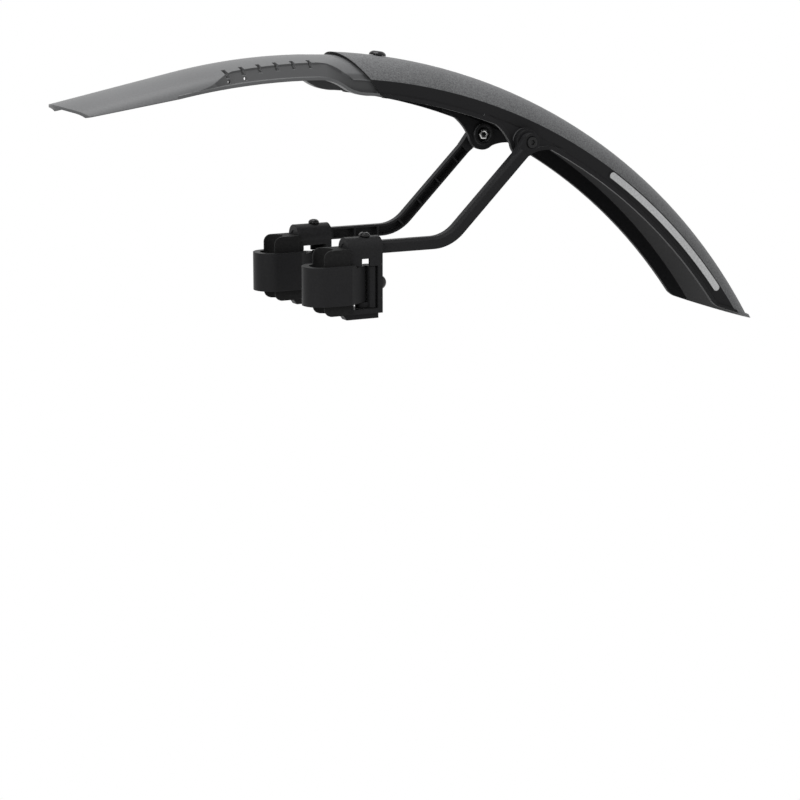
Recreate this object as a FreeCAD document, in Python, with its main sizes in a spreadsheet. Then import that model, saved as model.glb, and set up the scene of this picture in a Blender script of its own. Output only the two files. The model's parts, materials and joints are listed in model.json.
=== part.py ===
import FreeCAD, Part
import math
import os
import Sketcher

os.makedirs("parts", exist_ok=True)

# Rear mudguard of a bicycle: a curved blade over the wheel, a front extension that slides
# out of it, and two bent arms that end in strap clamps for the stays of the frame.
# Millimetres. X runs to the rear, Y to the right of the rider, Z up.
# The origin lies midway between the two stay seats.

DIMENSIONS = {
    # wheel circle and blade section
    "axle_drop": 238.8,
    "crest_radius": 370.0,
    "blade_wall": 1.6,
    "crown_radius": 47.0,
    "crown_angle": 14.8,
    "shoulder_radius": 22.4,
    "shoulder_angle": 65.1,
    "side_lean": 10.3,
    "lip_depth": 23.7,
    "bead_height": 2.3,
    "bead_proud": 0.7,
    # length of the blade, front joint cut and tail cut
    "blade_front_angle": 3.0,
    "blade_sweep": 57.5,
    "joint_cut_top": 23.8,
    "joint_cut_lean": 37.8,
    "tail_cut_angle": 53.89,
    "tail_cut_slope": 19.0,
    "tail_corner": 16.0,
    "tail_rim_angle": 50.0,
    "tail_rim_proud": 1.5,
    "tail_rim_width": 1.7,
    # ears that carry the arms
    "pivot_angle": 23.91,
    "pivot_drop": 2.7,
    "ear_radius": 9.6,
    "ear_front_angle": 18.6,
    "ear_rear_angle": 28.7,
    "ear_front_flank": 32.0,
    "ear_rear_flank": 26.5,
    "ear_front_hold": 187.8,
    "ear_rear_hold": 310.0,
    "ear_rim": 2.3,
    "ear_inner": 23.3,
    "ear_thickness": 1.9,
    "boss_radius": 7.9,
    "nut_boss_radius": 6.6,
    "nut_boss_height": 1.7,
    "nut_recess_radius": 4.9,
    "nut_recess_depth": 1.3,
    # arm pivots
    "pivot_bolt_radius": 1.5,
    "pivot_bolt_head": 3.25,
    "pivot_bolt_proud": 0.7,
    "pivot_running_fit": 0.05,
    "pivot_nut_flats": 5.6,
    "pivot_nut_height": 2.4,
    "spacer_radius": 7.2,
    "hex_key": 3.0,
    "hex_key_depth": 1.1,
    # reflectors on the side walls
    "reflector_low": 4.9,
    "reflector_width": 4.6,
    "reflector_front": 34.4,
    "reflector_sweep": 18.4,
    "reflector_thickness": 0.6,
    # sliding front extension
    "nest_gap": 0.2,
    "extension_wall": 2.0,
    "nose_wall": 1.4,
    "insert_lift": 0.8,
    "insert_rear_angle": 16.0,
    "insert_skirt_depth": 12.0,
    "insert_skirt_overlap": 1.5,
    "insert_front_angle": 3.2,
    "insert_cavity_angle": 7.15,
    "blend_front_angle": 0.8,
    "nose_angle": -11.5,
    "nose_length": 84.0,
    "nose_crown_radius": 56.0,
    "nose_crown_angle": 19.8,
    "nose_shoulder_radius": 13.6,
    "nose_shoulder_angle": 68.0,
    "nose_depth": 13.5,
    "nose_tip": 148.0,
    "nose_tip_radius": 32.0,
    "nose_tip_width": 44.0,
    "nose_corner_radius": 16.0,
    "nose_corner_run": 12.0,
    "slide_angle": 5.0,
    # side recesses of the extension
    "recess_front_angle": -7.6,
    "recess_rear_angle": 1.65,
    "recess_taper": 6.6,
    "taper_ledge_shift": 12.0,
    "taper_foot_shift": 1.5,
    "taper_foot_depth": 8.5,
    "ledge_half_width": 19.2,
    "ledge_depth": 4.5,
    "recess_foot_half_width": 24.4,
    "recess_foot_depth": 12.9,
    "tail_recess_angle": 4.12,
    "tail_recess_end": 6.9,
    "tail_ledge_half_width": 23.2,
    "tail_ledge_depth": 13.0,
    "tail_foot_half_width": 22.4,
    "tail_foot_depth": 21.5,
    "hem_front_x": 84.0,
    "hem_front_depth": 20.3,
    "hem_rear_x": 2.6,
    "hem_rear_depth": 12.9,
    "hem_radius": 415.0,
    "hem_slope": 8.6,
    "hem_step_x": 35.9,
    "hem_step_depth": 23.1,
    "flange_thickness": 1.8,
    "flange_end_drop": 0.7,
    # tie slots in the recesses
    "tie_slot_count": 6,
    "tie_slot_pitch": 1.66,
    "tie_slot_front_angle": -8.22,
    "tie_slot_width": 2.2,
    "tie_slot_inner": 15.6,
    "tie_slot_depth": 6.6,
    "tie_hole_count": 2,
    "tie_hole_radius": 1.0,
    "tie_hole_depth": 8.5,
    # screw of the sliding joint
    "joint_screw_angle": 8.39,
    "joint_screw_radius": 2.5,
    "joint_head_radius": 5.0,
    "joint_head_height": 2.6,
    "joint_clearance": 0.3,
    "joint_nut_radius": 4.6,
    "joint_nut_height": 3.2,
    # arms
    "arm_centre": 32.65,
    "arm_width": 6.0,
    "arm_height": 7.1,
    "arm_bend_radius": 25.0,
    "knee_run": 45.6,
    "arm_top_chamfer": 1.7,
    "arm_channel_depth": 4.0,
    "arm_channel_wall": 1.2,
    "arm_rib_pitch": 15.7,
    "arm_rib": 1.0,
    "slope_rib_start": 4.7,
    "slope_rib_pitch": 17.4,
    "eye_radius": 5.4,
    "eye_width": 4.65,
    "eye_flare": 13.0,
    "rod_radius": 2.9,
    "rod_fit": 0.05,
    "slide_gap": 0.3,
    # stay clamps
    "rod_height": 19.9,
    "socket_radius": 6.6,
    "socket_start": 14.6,
    "clamp_start": 15.0,
    "clamp_end": 36.9,
    "clamp_half_width": 6.0,
    "clamp_floor": 17.9,
    "floor_thickness": 2.9,
    "front_wall": 3.0,
    "rear_wall": 3.0,
    "bridge_height": 5.5,
    "window_start": 23.5,
    "window_end": 28.5,
    "window_wall": 1.5,
    "foot_depth": 3.4,
    "foot_half_width": 3.0,
    "foot_reach": 2.0,
    "foot_inset": 1.3,
    "seat_radius": 6.9,
    "pad_half_width": 8.0,
    "pad_lip": 1.5,
    "pad_top": 20.6,
    "pad_bottom": 17.5,
    "pad_corner": 4.5,
    "strap_half_height": 11.3,
    "strap_thickness": 3.1,
    "strap_seat_gap": 0.1,
    "strap_tail_thickness": 2.2,
    "strap_tail_angle": 33.9,
    "strap_eye_x": 25.3,
    "strap_eye_radius": 3.2,
    "strap_pin_radius": 1.9,
    "strap_pin_gap": 0.05,
    "puller_top": 9.6,
    "puller_gap": 0.2,
    "puller_bar": 5.0,
    "puller_bar_half_width": 5.6,
    "tension_screw_height": -1.0,
    "tension_screw_radius": 1.6,
    "tension_head_radius": 4.2,
    "tension_head_height": 4.2,
    "set_screw_x": 28.0,
    "set_screw_radius": 1.6,
    "set_head_radius": 3.2,
    "set_head_height": 2.3,
    "thread_gap": 0.05,
    "cut_reach": 60.0,
}

doc = FreeCAD.newDocument("mudguard")
sheet = doc.addObject("Spreadsheet::Sheet", "Dimensions")
for row, (alias, number) in enumerate(DIMENSIONS.items(), start=1):
    sheet.set("A%d" % row, alias)
    sheet.set("B%d" % row, str(number))
    sheet.setAlias("B%d" % row, alias)
doc.recompute()


class Size:
    """A number together with the sheet formula that gives it."""

    def __init__(self, number, formula):
        self.number = number
        self.formula = formula

    def __add__(self, other):
        other = size_of(other)
        return Size(self.number + other.number, "(%s + %s)" % (self.formula, other.formula))

    def __sub__(self, other):
        other = size_of(other)
        return Size(self.number - other.number, "(%s - %s)" % (self.formula, other.formula))

    def __mul__(self, other):
        other = size_of(other)
        return Size(self.number * other.number, "(%s * %s)" % (self.formula, other.formula))

    def __truediv__(self, other):
        other = size_of(other)
        return Size(self.number / other.number, "(%s / %s)" % (self.formula, other.formula))

    def __neg__(self):
        return Size(-self.number, "(-1 * %s)" % self.formula)

    def __radd__(self, other):
        return size_of(other) + self

    def __rsub__(self, other):
        return size_of(other) - self

    def __rmul__(self, other):
        return size_of(other) * self


def size_of(value):
    return value if isinstance(value, Size) else Size(float(value), "%.6g" % value)


def dim(alias):
    return Size(float(sheet.get(alias)), "Dimensions." + alias)


def sine(angle):
    return Size(math.sin(math.radians(angle.number)), "sin(%s)" % angle.formula)


def cosine(angle):
    return Size(math.cos(math.radians(angle.number)), "cos(%s)" % angle.formula)


def tangent(angle):
    return Size(math.tan(math.radians(angle.number)), "tan(%s)" % angle.formula)


def root(value):
    return Size(math.sqrt(value.number), "sqrt(%s)" % value.formula)


def polar(radius, angle):
    """Point at an angle from the vertical through the axle."""
    return (radius * sine(angle), radius * cosine(angle))


def bind(thing, path, value):
    thing.setExpression(path, size_of(value).formula)


def new_body(label, x=0.0, y=0.0, z=0.0, turn=None):
    body = doc.addObject("PartDesign::Body", label)
    body.Label = label
    place = FreeCAD.Placement()
    place.Base = FreeCAD.Vector(size_of(x).number, size_of(y).number, size_of(z).number)
    if turn is not None:
        place.Rotation = FreeCAD.Rotation(FreeCAD.Vector(0, 1, 0), turn.number)
    body.Placement = place
    for axis, value in (("x", x), ("y", y), ("z", z)):
        if isinstance(value, Size):
            bind(body, "Placement.Base." + axis, value)
    if turn is not None:
        bind(body, "Placement.Rotation.Angle", turn)
    return body


def origin_feature(body, role):
    return [item for item in body.Origin.OriginFeatures if item.Role == role][0]


def new_sketch(body, name, plane, offset=0.0, turn=None):
    """Sketch on an origin plane, moved along its normal, or turned about the wheel axle."""
    sketch = body.newObject("Sketcher::SketchObject", name)
    sketch.AttachmentSupport = [(origin_feature(body, plane), "")]
    sketch.MapMode = "FlatFace"
    shift = size_of(offset)
    angle = size_of(turn if turn is not None else 0.0)
    turned = FreeCAD.Rotation(FreeCAD.Vector(1, 0, 0), angle.number)
    base = turned.multVec(FreeCAD.Vector(0, 0, shift.number))
    sketch.AttachmentOffset = FreeCAD.Placement(base, turned)
    if turn is not None:
        bind(sketch, "AttachmentOffset.Rotation.Angle", angle)
        bind(sketch, "AttachmentOffset.Base.y", -1.0 * shift * sine(angle))
        bind(sketch, "AttachmentOffset.Base.z", shift * cosine(angle))
    elif isinstance(offset, Size):
        bind(sketch, "AttachmentOffset.Base.z", shift)
    return sketch


def hold(sketch, kind, geometry, value):
    """Dimension bound to the sheet."""
    value = size_of(value)
    index = sketch.addConstraint(Sketcher.Constraint(kind, *geometry, value.number))
    sketch.setExpression("Constraints[%d]" % index, value.formula)


def draw_circle(sketch, centre, radius):
    x, y, radius = size_of(centre[0]), size_of(centre[1]), size_of(radius)
    middle = FreeCAD.Vector(x.number, y.number, 0)
    circle = Part.Circle(middle, FreeCAD.Vector(0, 0, 1), radius.number)
    index = sketch.addGeometry(circle, False)
    hold(sketch, "Radius", (index,), radius)
    hold(sketch, "DistanceX", (-1, 1, index, 3), x)
    hold(sketch, "DistanceY", (-1, 1, index, 3), y)


def arc_between(start, end, radius):
    """Short arc from start to end: it turns left for a positive radius, right for a negative one."""
    chord = end - start
    half = chord.Length / 2.0
    rise = math.sqrt(max(radius * radius - half * half, 0.0))
    left = FreeCAD.Vector(-chord.y, chord.x, 0).normalize()
    centre = (start + end) * 0.5 + left * math.copysign(rise, radius)
    first, last = (start, end) if radius > 0 else (end, start)
    angle_first = math.atan2(first.y - centre.y, first.x - centre.x)
    angle_last = math.atan2(last.y - centre.y, last.x - centre.x)
    circle = Part.Circle(centre, FreeCAD.Vector(0, 0, 1), abs(radius))
    return Part.ArcOfCircle(circle, angle_first, angle_last)


def draw_outline(sketch, corners):
    """Closed outline. A corner is (x, y), or (x, y, radius) where an arc leaves it."""
    points = [(size_of(corner[0]), size_of(corner[1])) for corner in corners]
    places = [FreeCAD.Vector(x.number, y.number, 0) for x, y in points]
    starts = []
    ends = []
    for number, corner in enumerate(corners):
        start = places[number]
        end = places[(number + 1) % len(places)]
        if len(corner) == 3:
            radius = size_of(corner[2])
            index = sketch.addGeometry(arc_between(start, end, radius.number), False)
            forward = radius.number > 0
            starts.append((index, 1 if forward else 2))
            ends.append((index, 2 if forward else 1))
        else:
            index = sketch.addGeometry(Part.LineSegment(start, end), False)
            starts.append((index, 1))
            ends.append((index, 2))
    for number in range(len(corners)):
        joined = ends[number - 1] + starts[number]
        sketch.addConstraint(Sketcher.Constraint("Coincident", *joined))
        hold(sketch, "DistanceX", (-1, 1) + starts[number], points[number][0])
        hold(sketch, "DistanceY", (-1, 1) + starts[number], points[number][1])
        if len(corners[number]) == 3:
            radius = size_of(corners[number][2])
            outward = radius if radius.number > 0 else -radius
            hold(sketch, "Radius", (starts[number][0],), outward)


def mirrored(half):
    """Full section from a right half that runs from its outer crest to its inner crest."""
    left = []
    for number in range(len(half) - 1, -1, -1):
        corner = half[number]
        before = half[number - 1]
        point = (-size_of(corner[0]), corner[1])
        if number > 0 and len(before) == 3:
            point = point + (before[2],)
        left.append(point)
    return left


def section(sketch, half):
    """Symmetric closed section: the half starts and ends on the mid-plane."""
    right = list(half[:-1])
    left = mirrored(half)[:-1]
    draw_outline(sketch, right + left)


def add_pad(body, name, sketch, length, both=False, reverse=False):
    pad = body.newObject("PartDesign::Pad", name)
    pad.Profile = sketch
    pad.SideType = "Symmetric" if both else "One side"
    pad.Reversed = reverse
    bind(pad, "Length", length)
    return pad


def add_pocket(body, name, sketch, length, both=False, reverse=False):
    pocket = body.newObject("PartDesign::Pocket", name)
    pocket.Profile = sketch
    pocket.SideType = "Symmetric" if both else "One side"
    pocket.Reversed = reverse
    bind(pocket, "Length", length)
    return pocket


def add_turn(body, name, kind, sketch, role, angle=None):
    turn = body.newObject("PartDesign::" + kind, name)
    turn.Profile = sketch
    turn.ReferenceAxis = (origin_feature(body, role), [""])
    if angle is None:
        turn.Angle = 360.0
    else:
        bind(turn, "Angle", angle)
    return turn


def hexagon(flats):
    reach = flats / root(size_of(3.0))
    return [(reach * cosine(size_of(60.0 * n)), reach * sine(size_of(60.0 * n))) for n in range(6)]


def edges_where(feature, test):
    doc.recompute()
    names = []
    for number, edge in enumerate(feature.Shape.Edges, start=1):
        if test(edge):
            names.append("Edge%d" % number)
    return names


def add_edge_treatment(body, name, kind, feature, test, amount):
    treatment = body.newObject("PartDesign::" + kind, name)
    treatment.Base = (feature, edges_where(feature, test))
    bind(treatment, "Radius" if kind == "Fillet" else "Size", amount)
    return treatment


axle_drop = dim("axle_drop")
crest = dim("crest_radius")
wall = dim("blade_wall")
lip = crest - dim("lip_depth")
bead_top = lip + dim("bead_height")
lean = tangent(dim("side_lean"))
far = dim("cut_reach")

pivot_radius = lip - dim("pivot_drop")
pivot_x, pivot_up = polar(pivot_radius, dim("pivot_angle"))
pivot_z = pivot_up - axle_drop

ear_inner = dim("ear_inner")
ear_outer = ear_inner + dim("ear_thickness")
bead_face = ear_outer + dim("bead_proud")
arm_inner = dim("arm_centre") - dim("arm_width") / 2.0
arm_outer = dim("arm_centre") + dim("arm_width") / 2.0
eye_outer = arm_inner + dim("eye_width")


def nested_crown(inset):
    """Crown and shoulder of the blade, moved inwards: corners and the foot of the shoulder."""
    angle = dim("crown_angle")
    end = dim("shoulder_angle")
    crown = dim("crown_radius") - inset
    shoulder = dim("shoulder_radius") - inset
    centre_up = crest - dim("crown_radius")
    hub = dim("crown_radius") - dim("shoulder_radius")
    hub_y = hub * sine(angle)
    hub_up = centre_up + hub * cosine(angle)
    top = (size_of(0.0), centre_up + crown)
    bend = (crown * sine(angle), centre_up + crown * cosine(angle))
    foot = (hub_y + shoulder * sine(end), hub_up + shoulder * cosine(end))
    return top, bend, foot, crown, shoulder


def wall_at(foot, height):
    """Half width of a leaning side wall at a radius."""
    return foot[0] - (foot[1] - height) * lean


# Rear blade.
blade = new_body("rear_blade", z=-axle_drop)
top, bend, foot, crown, shoulder = nested_crown(size_of(0.0))
in_top, in_bend, in_foot, in_crown, in_shoulder = nested_crown(wall)
outer_foot = foot
inner_foot = in_foot
blade_sketch = new_sketch(blade, "BladeSection", "YZ_Plane", turn=dim("blade_front_angle"))
blade_half = [
    (top[0], top[1], -crown),
    (bend[0], bend[1], -shoulder),
    (foot[0], foot[1]),
    (wall_at(foot, bead_top), bead_top),
    (wall_at(foot, bead_top) + dim("bead_proud"), bead_top),
    (wall_at(foot, bead_top) + dim("bead_proud"), lip),
    (wall_at(in_foot, lip), lip),
    (in_foot[0], in_foot[1], in_shoulder),
    (in_bend[0], in_bend[1], in_crown),
    (in_top[0], in_top[1]),
]
section(blade_sketch, blade_half)
add_turn(blade, "BladeShell", "Revolution", blade_sketch, "Y_Axis", dim("blade_sweep"))

# Ears: plates with a raised rim below the lip, round the arm pivots.
ear_root = lip + dim("bead_height") * 0.6
ear_lift = ear_root + dim("ear_rim")
tail_hold = dim("ear_front_hold")
head_hold = dim("ear_rear_hold")


def ear_outline(inset, base):
    front = polar(base, dim("ear_front_angle"))
    rear = polar(base, dim("ear_rear_angle"))
    round_radius = dim("ear_radius") - inset
    left = (pivot_x + round_radius * cosine(tail_hold), pivot_up + round_radius * sine(tail_hold))
    right = (pivot_x + round_radius * cosine(head_hold), pivot_up + round_radius * sine(head_hold))
    return [
        (front[0], front[1], -(dim("ear_front_flank") + inset)),
        (left[0], left[1], round_radius),
        (right[0], right[1], -(dim("ear_rear_flank") + inset)),
    ], front, rear


for side, sign in (("Left", 1.0), ("Right", -1.0)):
    corners, front, rear = ear_outline(size_of(0.0), ear_root)
    high_front = polar(ear_lift, dim("ear_front_angle"))
    high_rear = polar(ear_lift, dim("ear_rear_angle"))
    ear_sketch = new_sketch(blade, side + "Ear", "XZ_Plane", ear_inner * sign)
    draw_outline(ear_sketch, corners + [rear, (high_rear[0], high_rear[1], ear_lift), high_front])
    ear_depth = dim("ear_thickness") + dim("bead_proud")
    ear_pad = add_pad(blade, side + "EarPlate", ear_sketch, ear_depth, reverse=sign < 0)
for side, sign in (("Left", 1.0), ("Right", -1.0)):
    corners, front, rear = ear_outline(dim("ear_rim"), ear_lift)
    face_sketch = new_sketch(blade, side + "EarFace", "XZ_Plane", ear_outer * sign)
    draw_outline(face_sketch, corners + [(rear[0], rear[1], ear_lift)])
    add_pocket(blade, side + "EarSink", face_sketch, dim("bead_proud") + 1.0, reverse=sign > 0)
for side, sign in (("Left", 1.0), ("Right", -1.0)):
    boss_sketch = new_sketch(blade, side + "Boss", "XZ_Plane", ear_outer * sign)
    draw_circle(boss_sketch, (pivot_x, pivot_up), dim("boss_radius"))
    add_pad(blade, side + "BossDisc", boss_sketch, dim("bead_proud"), reverse=sign < 0)
    ring_sketch = new_sketch(blade, side + "NutBoss", "XZ_Plane", ear_inner * sign)
    draw_circle(ring_sketch, (pivot_x, pivot_up), dim("nut_boss_radius"))
    add_pad(blade, side + "NutBossDisc", ring_sketch, dim("nut_boss_height"), reverse=sign > 0)
    recess_floor = ear_inner + dim("nut_recess_depth")
    recess_sketch = new_sketch(blade, side + "NutRecess", "XZ_Plane", recess_floor * sign)
    draw_circle(recess_sketch, (pivot_x, pivot_up), dim("nut_recess_radius"))
    recess_depth = dim("nut_recess_depth") + dim("nut_boss_height") + 1.0
    add_pocket(blade, side + "NutRecessCut", recess_sketch, recess_depth, reverse=sign < 0)
bore_sketch = new_sketch(blade, "PivotBore", "XZ_Plane")
draw_circle(bore_sketch, (pivot_x, pivot_up), dim("pivot_bolt_radius") + dim("thread_gap"))
add_pocket(blade, "PivotBoreCut", bore_sketch, far * 2.0, both=True)

# Slanted front edge over the sliding joint.
cut_lean = tangent(dim("joint_cut_lean"))
joint_sketch = new_sketch(blade, "JointCut", "XZ_Plane")
joint_top = dim("joint_cut_top")
draw_outline(joint_sketch, [
    (joint_top, crest),
    (joint_top - far * cut_lean, crest + far),
    (joint_top - far * cut_lean - far, crest + far),
    (joint_top - far * cut_lean - far, crest - far),
    (joint_top + far * cut_lean, crest - far),
])
add_pocket(blade, "JointEdge", joint_sketch, far * 2.0, both=True)

# Tail cut, with round lower corners.
cut_angle = dim("tail_cut_slope")
corner_angle = dim("tail_cut_angle")
corner_x, corner_up = polar(lip, corner_angle)
corner_reach = dim("tail_corner") * tangent((corner_angle - cut_angle) / 2.0)
round_x = corner_x - corner_reach * cosine(corner_angle) - wall * 0.1 * sine(corner_angle)
round_up = corner_up + corner_reach * sine(corner_angle) - wall * 0.1 * cosine(corner_angle)
level_x = corner_x + corner_reach * cosine(cut_angle)
level_up = corner_up - corner_reach * sine(cut_angle)

# Raised rim along the tail: a skin over the blade, trimmed to a strip above the cut and joined to it.
rim_top, rim_bend, rim_foot, rim_crown, rim_shoulder = nested_crown(-dim("tail_rim_proud"))
mid_top, mid_bend, mid_foot, mid_crown, mid_shoulder = nested_crown(wall * 0.5)
tail_rim = new_body("tail_rim")
rim_start = dim("tail_rim_angle")
rim_sketch = new_sketch(tail_rim, "RimSection", "YZ_Plane", turn=rim_start)
section(rim_sketch, [
    (rim_top[0], rim_top[1], -rim_crown),
    (rim_bend[0], rim_bend[1], -rim_shoulder),
    (rim_foot[0], rim_foot[1]),
    (wall_at(rim_foot, bead_top), bead_top),
    (wall_at(mid_foot, bead_top), bead_top),
    (mid_foot[0], mid_foot[1], mid_shoulder),
    (mid_bend[0], mid_bend[1], mid_crown),
    (mid_top[0], mid_top[1]),
])
rim_sweep = dim("blade_front_angle") + dim("blade_sweep") - rim_start
add_turn(tail_rim, "RimShell", "Revolution", rim_sketch, "Y_Axis", rim_sweep)
strip_up = level_up + dim("tail_rim_width") / cosine(cut_angle)
trim_sketch = new_sketch(tail_rim, "RimTrim", "XZ_Plane")
draw_outline(trim_sketch, [
    (level_x - far, strip_up + far * tangent(cut_angle)),
    (level_x + far, strip_up - far * tangent(cut_angle)),
    (level_x + far, strip_up + far * 2.0),
    (level_x - far, strip_up + far * 2.0),
])
add_pocket(tail_rim, "RimTrimCut", trim_sketch, far * 2.0, both=True)
rim_join = blade.newObject("PartDesign::Boolean", "TailRim")
rim_join.Type = "Fuse"
rim_join.setObjects([tail_rim])

tail_sketch = new_sketch(blade, "TailCut", "XZ_Plane")
draw_outline(tail_sketch, [
    (round_x, round_up, dim("tail_corner")),
    (level_x, level_up),
    (level_x + far, level_up - far * tangent(cut_angle)),
    (level_x + far, level_up - far * 2.0),
    (round_x - far * 0.5, level_up - far * 2.0),
    (round_x - far * 0.5, round_up - far * 0.5),
])
add_pocket(blade, "TailEdge", tail_sketch, far * 2.0, both=True)

screw_x = polar(crest - wall / 2.0, dim("joint_screw_angle"))[0]
blade_bore = new_sketch(blade, "JointBore", "XY_Plane", crest - far / 3.0)
draw_circle(blade_bore, (screw_x, 0.0), dim("joint_screw_radius") + dim("thread_gap") * 4.0)
add_pocket(blade, "JointBoreCut", blade_bore, far, reverse=True)
# Front extension: flat dome with round flanks, nested inside the blade at its rear.
nest = wall + dim("nest_gap")
ext_crest = crest - nest
nose_hub = dim("nose_crown_radius") - dim("nose_shoulder_radius")


def nose_profile(inset):
    angle = dim("nose_crown_angle")
    end = dim("nose_shoulder_angle")
    crown = dim("nose_crown_radius") - inset
    shoulder = dim("nose_shoulder_radius") - inset
    centre_up = ext_crest - dim("nose_crown_radius")
    hub_y = nose_hub * sine(angle)
    hub_up = centre_up + nose_hub * cosine(angle)
    top = (size_of(0.0), centre_up + crown)
    bend = (crown * sine(angle), centre_up + crown * cosine(angle))
    foot = (hub_y + shoulder * sine(end), hub_up + shoulder * cosine(end))
    return top, bend, foot, crown, shoulder


def solid_half(profile, depth, lean_in):
    """Outer half section, closed straight across at a depth below the crest."""
    top, bend, foot, crown, shoulder = profile
    low = ext_crest - depth
    low_y = foot[0] - (foot[1] - low) * lean_in
    return [
        (top[0], top[1], -crown),
        (bend[0], bend[1], -shoulder),
        (foot[0], foot[1]),
        (low_y, low),
        (0.0, low),
    ]


extension = new_body("front_extension", z=-axle_drop)
nose_out = nose_profile(size_of(0.0))
extension_wall = dim("extension_wall")
nose_in = nose_profile(dim("nose_wall"))
nest_out = nested_crown(nest)
nest_in = nested_crown(nest + extension_wall)
nose_depth = dim("nose_depth")
insert_depth = ext_crest - lip - dim("insert_lift")
upright = size_of(0.0)

nose_angle = dim("nose_angle")
blend_angle = dim("blend_front_angle")
insert_angle = dim("insert_front_angle")
nose_sketch = new_sketch(extension, "NoseSection", "YZ_Plane", turn=nose_angle)
section(nose_sketch, solid_half(nose_out, nose_depth, upright))
add_turn(extension, "NoseArc", "Revolution", nose_sketch, "Y_Axis", blend_angle - nose_angle)
straight_sketch = new_sketch(extension, "StraightSection", "YZ_Plane", turn=nose_angle)
section(straight_sketch, solid_half(nose_out, nose_depth, upright))
add_pad(extension, "NoseStraight", straight_sketch, dim("nose_length"), reverse=True)
blend_front = new_sketch(extension, "BlendFront", "YZ_Plane", turn=blend_angle)
section(blend_front, solid_half(nose_out, nose_depth, upright))
blend_rear = new_sketch(extension, "BlendRear", "YZ_Plane", turn=insert_angle)
section(blend_rear, solid_half(nest_out, insert_depth, lean))
blend = extension.newObject("PartDesign::AdditiveLoft", "Blend")
blend.Profile = blend_front
blend.Sections = [blend_rear]
blend.Ruled = True
insert_sketch = new_sketch(extension, "InsertSection", "YZ_Plane", turn=insert_angle)
section(insert_sketch, solid_half(nest_out, insert_depth, lean))
insert_sweep = dim("insert_rear_angle") - insert_angle
add_turn(extension, "Insert", "Revolution", insert_sketch, "Y_Axis", insert_sweep)

# Side recesses: a groove beside the dome, with a slanted front end and a tail that sinks to the joint.
ledge_y = dim("ledge_half_width")
ledge_up = ext_crest - dim("ledge_depth")
foot_y = dim("recess_foot_half_width")
foot_up = ext_crest - dim("recess_foot_depth")
above = size_of(6.0)
beyond = foot_y + above * 2.5
open_top = ext_crest + above
tail_y = dim("tail_ledge_half_width")
tail_ledge_up = ext_crest - dim("tail_ledge_depth")
groove_section = [
    (ledge_y, open_top),
    (ledge_y, ledge_up),
    (foot_y, foot_up),
    (beyond, foot_up),
    (beyond, open_top),
]
front_ledge_y = ledge_y + dim("taper_ledge_shift")
front_foot_y = foot_y + dim("taper_foot_shift")
front_foot_up = ext_crest - dim("taper_foot_depth")
front_section = [
    (front_ledge_y, open_top),
    (front_ledge_y, ledge_up),
    (front_foot_y, front_foot_up),
    (beyond, front_foot_up),
    (beyond, open_top),
]
tail_section = [
    (tail_y + above * 0.55, tail_ledge_up + above * 0.05),
    (tail_y, tail_ledge_up),
    (dim("tail_foot_half_width"), ext_crest - dim("tail_foot_depth")),
    (beyond, ext_crest - dim("tail_foot_depth")),
    (beyond, tail_ledge_up + above * 0.1),
]


def draw_side(sketch, corners, sign):
    if sign > 0:
        corners = [(-corner[0], corner[1]) for corner in reversed(corners)]
    draw_outline(sketch, corners)


def cut_between(body, name, first, second):
    loft = body.newObject("PartDesign::SubtractiveLoft", name)
    loft.Profile = first
    loft.Sections = [second]
    loft.Ruled = True


recess_front = dim("recess_front_angle")
recess_rear = dim("recess_rear_angle")
tail_start = dim("tail_recess_angle")
for side, sign in (("Left", 1.0), ("Right", -1.0)):
    groove_sketch = new_sketch(extension, side + "Recess", "YZ_Plane", turn=recess_front)
    draw_side(groove_sketch, groove_section, sign)
    recess_sweep = recess_rear - recess_front
    add_turn(extension, side + "RecessCut", "Groove", groove_sketch, "Y_Axis", recess_sweep)
    taper_rear = new_sketch(extension, side + "TaperRear", "YZ_Plane", turn=recess_front)
    draw_side(taper_rear, groove_section, sign)
    taper_front = new_sketch(extension, side + "TaperFront", "YZ_Plane", -dim("recess_taper"), nose_angle)
    draw_side(taper_front, front_section, sign)
    cut_between(extension, side + "Taper", taper_rear, taper_front)
    sink_front = new_sketch(extension, side + "SinkFront", "YZ_Plane", turn=recess_rear)
    draw_side(sink_front, groove_section, sign)
    sink_rear = new_sketch(extension, side + "SinkRear", "YZ_Plane", turn=tail_start)
    draw_side(sink_rear, tail_section, sign)
    cut_between(extension, side + "Sink", sink_front, sink_rear)
    tail_sketch = new_sketch(extension, side + "RecessTail", "YZ_Plane", turn=tail_start)
    draw_side(tail_sketch, tail_section, sign)
    tail_sweep = dim("tail_recess_end") - tail_start
    add_turn(extension, side + "TailCut", "Groove", tail_sketch, "Y_Axis", tail_sweep)

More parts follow.
